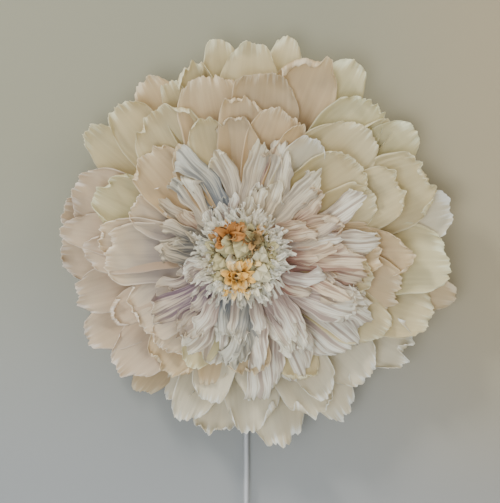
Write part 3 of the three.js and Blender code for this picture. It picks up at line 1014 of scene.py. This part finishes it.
class FLOWER_OT_tufts(bpy.types.Operator):
    """The tufts of curled paper and the carpels on the pad, and the small chips between them"""

    bl_idname = "flower.tufts"
    bl_label = "Tufts and Carpels"

    def execute(self, context):
        draw = random.Random(33)
        self.add_tufts(draw)
        made = self.add_pods()
        self.add_fillers(made, draw)
        self.add_large_chips(made)
        made.piece("paper_heart_chips", "carpels", heart_papers(), CHIP_THICK)
        return {"FINISHED"}

    def add_tufts(self, draw):
        for node, slot, papers, count, length, width, lean in HEART_TUFTS:
            low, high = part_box(node)
            made = SheetMesh()
            for index in range(count):
                turn = index * LEAF_TURN + draw.uniform(-0.3, 0.3)
                share = math.sqrt((index + 0.3) / count)
                out = flat_direction(turn)
                x, z = (
                    (low[axis] + high[axis]) / 2
                    + (high[axis] - low[axis]) / 2 * TUFT_SPREAD * share * out[axis]
                    for axis in (0, 2)
                )
                place = Vector((x, high.y + draw.uniform(0, 1) * MM, z))
                long = length * draw.uniform(0.8, 1.2) * (1.15 - 0.3 * share) * MM
                wide = width * draw.uniform(0.75, 1.2) * MM
                start = lean * share * draw.uniform(0.4, 1.0)
                curl = draw.uniform(0.5, 1.8) * draw.choice((1, 1, 1, -0.7))
                shade = paper_number(papers[index % len(papers)])
                add_chip(made, place, out, long, wide, start, curl, 0.35, shade, (8, 10), 0.12)
            made.piece(f"paper_{node}", slot, heart_papers(), CHIP_THICK, [node])

    def add_pods(self):
        """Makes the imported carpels, and returns the mesh that the other pods are in"""
        made = SheetMesh()
        for node, x, z, paper, length, width, heading in PODS:
            out = flat_direction(math.radians(heading))
            middle = Vector((x * MM, -HEART_FOOT, z * MM))
            shade = paper_number(paper)
            for turned, start, curl, share in POD_SHELLS:
                leaf = Matrix.Rotation(turned, 3, "Y") @ out
                place = middle - out * length * 0.42 * MM
                size = (length * share * MM, width * share * MM)
                add_chip(made, place, leaf, *size, start, curl, -0.3, shade, (8, 10), 0.06, True)
            if node:
                made.piece(f"paper_{node}", "carpels", heart_papers(), CHIP_THICK, [node])
                made = SheetMesh()
        return made

    def add_fillers(self, made, draw):
        for index in range(FILLER_COUNT):
            turn = index * LEAF_TURN
            far = FILLER_REACH * math.sqrt((index + 0.5) / FILLER_COUNT)
            place = far * flat_direction(turn) + HEART_FOOT * FORWARD
            heading = flat_direction(draw.uniform(0, 2 * math.pi))
            long = draw.uniform(6, 10) * MM
            start = draw.uniform(0.1, 1.2)
            shade = paper_number(FILLER_SHADES[index % len(FILLER_SHADES)])
            add_chip(made, place, heading, long, draw.uniform(5, 9) * MM, start, 0.9, 0.3, shade)

    def add_large_chips(self, made):
        for x, z, paper, length, width, heading in HEART_CHIPS:
            place = Vector((x * MM, -HEART_FOOT, z * MM))
            out = flat_direction(math.radians(heading))
            size = (length * MM, width * MM)
            add_chip(made, place, out, *size, 0.35, 1.1, 0.4, paper_number(paper), (6, 8), 0.15)


# Mains lead


def smooth_route(points, step):
    """Points a step apart on a smooth line through the given ones."""
    made = []
    padded = [points[0] * 2 - points[1], *points, points[-1] * 2 - points[-2]]
    for first, start, end, last in zip(padded, padded[1:], padded[2:], padded[3:]):
        count = max(1, round((end - start).length / step))
        for index in range(count):
            t = index / count
            square = (2 * first - 5 * start + 4 * end - last) * t**2
            cube = (3 * start - first - 3 * end + last) * t**3
            made.append(0.5 * (2 * start + (end - first) * t + square + cube))
    made.append(points[-1])
    return made


class FLOWER_OT_lead(bpy.types.Operator):
    """The mains lead: free cord, flat coil of two spirals, tie, plug and strain relief"""

    bl_idname = "flower.lead"
    bl_label = "Mains Lead"

    def execute(self, context):
        lead = context.scene.flower_lead
        radius = lead.diameter / 2
        pitch = lead.diameter + lead.turn_gap
        centre = (COIL_LOW + COIL_HIGH) / 2
        turns = 3
        outer = centre.x - (PLUG_LOW.x + PLUG_HIGH.x) / 2
        inner = outer - turns * pitch
        back, front = centre.y + pitch / 2, centre.y - pitch / 2
        route = [Vector(point) * MM for point in CORD_ROUTE]

        def wind(start, sweep, steps, far, y):
            """Points on an arc in degrees; far and y each go from one value to another."""
            made = []
            for index in range(steps + 1):
                share = index / steps
                turn = math.radians(start + sweep * share)
                distance = far[0] + (far[1] - far[0]) * share
                height = y[0] + (y[1] - y[0]) * smooth(share)
                x = centre.x + distance * math.cos(turn)
                made.append(Vector((x, height, centre.z + distance * math.sin(turn))))
            return made

        # The lead winds inwards at the back, crosses to the front, and winds outwards again
        start, crossing = 120, 60
        wound, steps = 360 * turns, 30 * turns
        spiral = wind(start, wound, steps, (outer, inner), (back, back))
        spiral += wind(start + wound, crossing, 6, (inner, inner), (back, front))[1:-1]
        spiral += wind(start + wound + crossing, wound, steps, (inner, outer), (front, front))
        last = spiral[-1]
        # It drops off the coil and ends inside the plug
        ends = (last.z - 12 * MM, PLUG_HIGH.z + 8 * MM, PLUG_HIGH.z - 3 * MM)
        tail = [Vector((last.x, last.y, z)) for z in ends]
        points = smooth_route([*route, *spiral, *tail], 4 * MM)
        curve = bpy.data.curves.new("mains_lead", "CURVE")
        curve.dimensions = "3D"
        curve.bevel_depth = radius
        curve.bevel_resolution = 4
        curve.use_fill_caps = True
        spline = curve.splines.new("POLY")
        spline.points.add(len(points) - 1)
        for target, point in zip(spline.points, points):
            target.co = (*point, 1)
        spline.use_smooth = True
        cord = add_object("mains_lead", curve)
        curve.materials.append(plain_material("Lead sheath", lead.sheath, 0.3, 60, 0.06))
        declare(cord, ["lamp_cord", "cord_coil"])
        plastic = plain_material("White moulded plastic", lead.plastic, 0.35, 90, 0.06)
        for node in ("plug", "strain_relief"):
            finish_node(node, plastic)
        finish_node("cord_tie", plain_material("Tie plastic", linear(205, 206, 204), 0.5, 200, 0.1))
        return {"FINISHED"}


# Disc, hanger, core and lamp board


class FLOWER_OT_mounting(bpy.types.Operator):
    """The plywood disc with its hanger, the foam core, the lamp board and its lamps"""

    bl_idname = "flower.mounting"
    bl_label = "Mounting"

    def execute(self, context):
        finish_node("backing_disc", plywood_material())
        steel = plain_material("Zinc plated steel", linear(168, 170, 172), 0.35, 120, 0.2, 1.0)
        for node in ("wall_hanger", "hanger_screw_1", "hanger_screw_2"):
            finish_node(node, steel)
        foam = plain_material("Foam core", linear(216, 212, 196), 0.9, 300, 0.15)
        finish_node("petal_core", foam)
        board = plain_material("Lamp board", linear(228, 228, 220), 0.4, 80, 0.06)
        finish_node("lamp_board", board)
        self.add_lamps()
        return {"FINISHED"}

    def add_lamps(self):
        """A ring of small lamps on the board's front"""
        low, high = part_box("lamp_board")
        middle = (CORE_RADIUS + (high.x - low.x) / 2) / 2
        count, side, height = 20, 5 * MM, 0.8 * MM
        turns = [2 * math.pi * index / count for index in range(count)]
        bm = bmesh.new()

        def place(turn, y):
            return Matrix.Translation(middle * flat_direction(turn) + Vector((0, y, 0)))

        for turn in turns:
            matrix = place(turn, low.y - height / 2) @ Matrix.Rotation(-turn, 4, "Y")
            matrix @= Matrix.Diagonal((side, height, side, 1))
            bmesh.ops.create_cube(bm, size=1, matrix=matrix)
        bmesh.ops.bevel(
            bm, geom=bm.edges[:], offset=0.15 * MM, offset_type="OFFSET", affect="EDGES",
            segments=2, profile=0.5, material=-1,
        )
        for turn in turns:
            matrix = place(turn, low.y - height - 0.05 * MM)
            matrix @= Matrix.Rotation(math.pi / 2, 4, "X")
            phosphor = bmesh.ops.create_cone(
                bm, cap_ends=True, segments=20, radius1=1.7 * MM, radius2=1.9 * MM,
                depth=0.2 * MM, matrix=matrix,
            )
            for face in {face for vert in phosphor["verts"] for face in vert.link_faces}:
                face.material_index = 1
        bmesh.ops.recalc_face_normals(bm, faces=bm.faces[:])
        package = plain_material("Lamp package", linear(236, 236, 230), 0.35, 400, 0.05)
        glow = plain_material("Lamp phosphor", linear(238, 206, 92), 0.3, 900, 0.12)
        declare(mesh_object("lamps", bm, package, glow))


class FLOWER_OT_pad(bpy.types.Operator):
    """The crowned felt pad that carries the heart"""

    bl_idname = "flower.pad"
    bl_label = "Felt Pad"

    def execute(self, context):
        front, back = PAD_LOW.y, PAD_HIGH.y
        deep = back - front
        rounding = min(2.5 * MM, deep / 3)
        profile = [(0, back), (PAD_RADIUS - rounding, back)]
        for index in range(1, 7):
            turn = math.pi * index / 7
            bulge = PAD_RADIUS - rounding + rounding * math.sin(turn)
            profile.append((bulge, back - (deep - PAD_CROWN) * (1 - math.cos(turn)) / 2))
        for index in range(7):
            share = 1 - index / 6
            profile.append(((PAD_RADIUS - rounding) * share, front + PAD_CROWN * share**2))
        bm = bmesh.new()
        verts = [bm.verts.new((radius, y, 0)) for radius, y in profile]
        edges = [bm.edges.new(pair) for pair in zip(verts, verts[1:])]
        bmesh.ops.spin(
            bm, geom=verts + edges, cent=(0, 0, 0), axis=(0, 1, 0), angle=2 * math.pi,
            steps=64, use_merge=True,
        )
        bmesh.ops.remove_doubles(bm, verts=bm.verts[:], dist=0.001 * MM)
        bmesh.ops.recalc_face_normals(bm, faces=bm.faces[:])
        for face in bm.faces:
            face.smooth = True
        felt = plain_material("Felt pad", linear(204, 196, 150), 0.95, 220, 0.5, 0, 0.6 * MM)
        felt.node_tree.nodes["Principled BSDF"].inputs["Sheen Weight"].default_value = 0.4
        pad = mesh_object("felt_pad", bm, felt)
        declare(pad, ["heart_pad"])
        return {"FINISHED"}


# Stage


class FLOWER_OT_stage(bpy.types.Operator):
    """The wall and floor, soft studio lights and the camera"""

    bl_idname = "flower.stage"
    bl_label = "Stage"

    def execute(self, context):
        stage = context.scene.flower_stage
        self.add_camera(context, stage)
        self.add_planes(stage)
        self.add_light("Window light", (-1.6, -1.4, 1.8), 0.5, 54, (1.0, 0.97, 0.89))
        self.add_light("Second light", (1.9, -1.6, 1.2), 1.4, 20, (1.0, 0.88, 0.68))
        self.add_light("Rear light", (0.5, 2.2, 0.8), 1.5, 12, (1.0, 1.0, 1.0))
        self.add_light("Fill light", (-0.6, -2.8, -0.6), 1.6, 56, (0.9, 0.95, 1.0))
        world = bpy.data.worlds.new("Room light")
        context.scene.world = world
        world.use_nodes = True
        background = world.node_tree.nodes["Background"]
        background.inputs["Color"].default_value = (0.9, 0.9, 0.86, 1)
        background.inputs["Strength"].default_value = 0.76
        return {"FINISHED"}

    def add_camera(self, context, stage):
        picture_rows = 503
        metres_per_pixel = 1.353 * MM
        data = bpy.data.cameras.new("Camera")
        data.lens = data.sensor_width * stage.camera_distance / (picture_rows * metres_per_pixel)
        camera = add_object("Camera", data)
        camera.location = (stage.camera_side, -stage.camera_distance, stage.camera_up)
        camera.rotation_euler = (math.pi / 2, 0, 0)
        context.scene.camera = camera

    def add_planes(self, stage):
        material, make, shader = new_material("Painted wall")
        # Painted light: the wall is coloured cooler low down, as under the cool light from the
        # lower left, and browner at the upper right, as under the warm light from the right
        right, _, up = make.vector("ShaderNodeSeparateXYZ", make.place())
        painted_cool_light = scaled(stage.wall, 1.02, 1.09, 1.54)
        # Painted warm light: the browner colour at the upper right
        brown = scaled(stage.wall, 1.24, 1.08, 0.98)
        paint = make.mix(make.ramp(up, -0.4, 0.2, 0.0, 1.0), painted_cool_light, stage.wall)
        upward = make.ramp(up, -0.45, 0.0, 0.1, 1.0)
        painted_warm_light_share = make.math("MULTIPLY", make.ramp(right, 0.05, 0.4, 0.0, 1.0), upward)
        paint = make.mix(painted_warm_light_share, paint, brown)
        drift = make.noise(make.place(), 1.2, 2.0)
        worn = make.mix(drift, (1.02, 1.02, 1.02), (0.96, 0.97, 0.98))
        make.feed(make.mix(1.0, paint, worn, "MULTIPLY"), shader.inputs["Base Color"])
        shader.inputs["Roughness"].default_value = 0.85
        # The wall also lets the rear light through, so that the back of the flower can be seen
        rays = make.add("ShaderNodeLightPath")
        self.clear_from_behind(material, rays.outputs["Is Shadow Ray"])
        floor = plain_material("Pale floor", linear(186, 184, 176), 0.7, 6)
        self.clear_from_behind(floor, 0.0)
        half, drop = 3.0, 1.3
        upright = Matrix.Translation((0, 0.2 * MM, 0)) @ Matrix.Rotation(math.pi / 2, 4, "X")
        level = Matrix.Translation((0, -half, -drop))
        for name, matrix, paint in (("wall", upright, material), ("floor", level, floor)):
            bm = bmesh.new()
            bmesh.ops.create_grid(bm, x_segments=1, y_segments=1, size=half, matrix=matrix)
            mesh_object(name, bm, paint)

    def clear_from_behind(self, material, unseen):
        """Makes a plane's back, and what unseen picks out, fully clear"""
        make = Nodes(material.node_tree)
        shader = material.node_tree.nodes["Principled BSDF"]
        behind = make.add("ShaderNodeNewGeometry").outputs["Backfacing"]
        clear = make.add("ShaderNodeBsdfTransparent")
        make.show_mix(make.math("MAXIMUM", behind, unseen), shader.outputs[0], clear.outputs[0])

    def add_light(self, name, place, size, power, colour):
        data = bpy.data.lights.new(name, "AREA")
        data.shape = "DISK"
        data.size = size
        data.energy = power
        data.color = colour
        lamp = add_object(name, data)
        lamp.location = place
        lamp.rotation_euler = (-Vector(place)).to_track_quat("-Z", "Y").to_euler()


class FLOWER_PT_panel(bpy.types.Panel):
    """Buttons for each part of the flower, in building order"""

    bl_label = "Giant Paper Flower"
    bl_idname = "FLOWER_PT_panel"
    bl_space_type = "VIEW_3D"
    bl_region_type = "UI"
    bl_category = "Paper Flower"

    def draw(self, context):
        for operator in OPERATORS:
            self.layout.operator(operator.bl_idname)
        for settings in ("flower_paper", "flower_colours", "flower_lead", "flower_stage"):
            group = getattr(context.scene, settings)
            box = self.layout.box()
            for name in group.bl_rna.properties.keys():
                if name not in ("rna_type", "name"):
                    box.prop(group, name)


SETTINGS = {
    "flower_paper": FlowerPaperSettings,
    "flower_colours": FlowerColourSettings,
    "flower_lead": FlowerLeadSettings,
    "flower_stage": FlowerStageSettings,
}
OPERATORS = (
    FLOWER_OT_stage,
    FLOWER_OT_lead,
    FLOWER_OT_mounting,
    FLOWER_OT_pad,
    FLOWER_OT_ring_petals,
    FLOWER_OT_loose_petals,
    FLOWER_OT_frills,
    FLOWER_OT_fringe,
    FLOWER_OT_tufts,
)


def register():
    for group in SETTINGS.values():
        bpy.utils.register_class(group)
    for name, group in SETTINGS.items():
        setattr(bpy.types.Scene, name, bpy.props.PointerProperty(type=group))
    for operator in OPERATORS:
        bpy.utils.register_class(operator)
    bpy.utils.register_class(FLOWER_PT_panel)


def unregister():
    bpy.utils.unregister_class(FLOWER_PT_panel)
    for operator in reversed(OPERATORS):
        bpy.utils.unregister_class(operator)
    for name in SETTINGS:
        delattr(bpy.types.Scene, name)
    for group in reversed(SETTINGS.values()):
        bpy.utils.unregister_class(group)


def main():
    register()
    bpy.ops.flower.stage()
    bpy.ops.flower.lead()
    bpy.ops.flower.mounting()
    bpy.ops.flower.pad()
    bpy.ops.flower.ring_petals()
    bpy.ops.flower.loose_petals()
    bpy.ops.flower.frills()
    bpy.ops.flower.fringe()
    bpy.ops.flower.tufts()


if __name__ == "__main__":
    main()
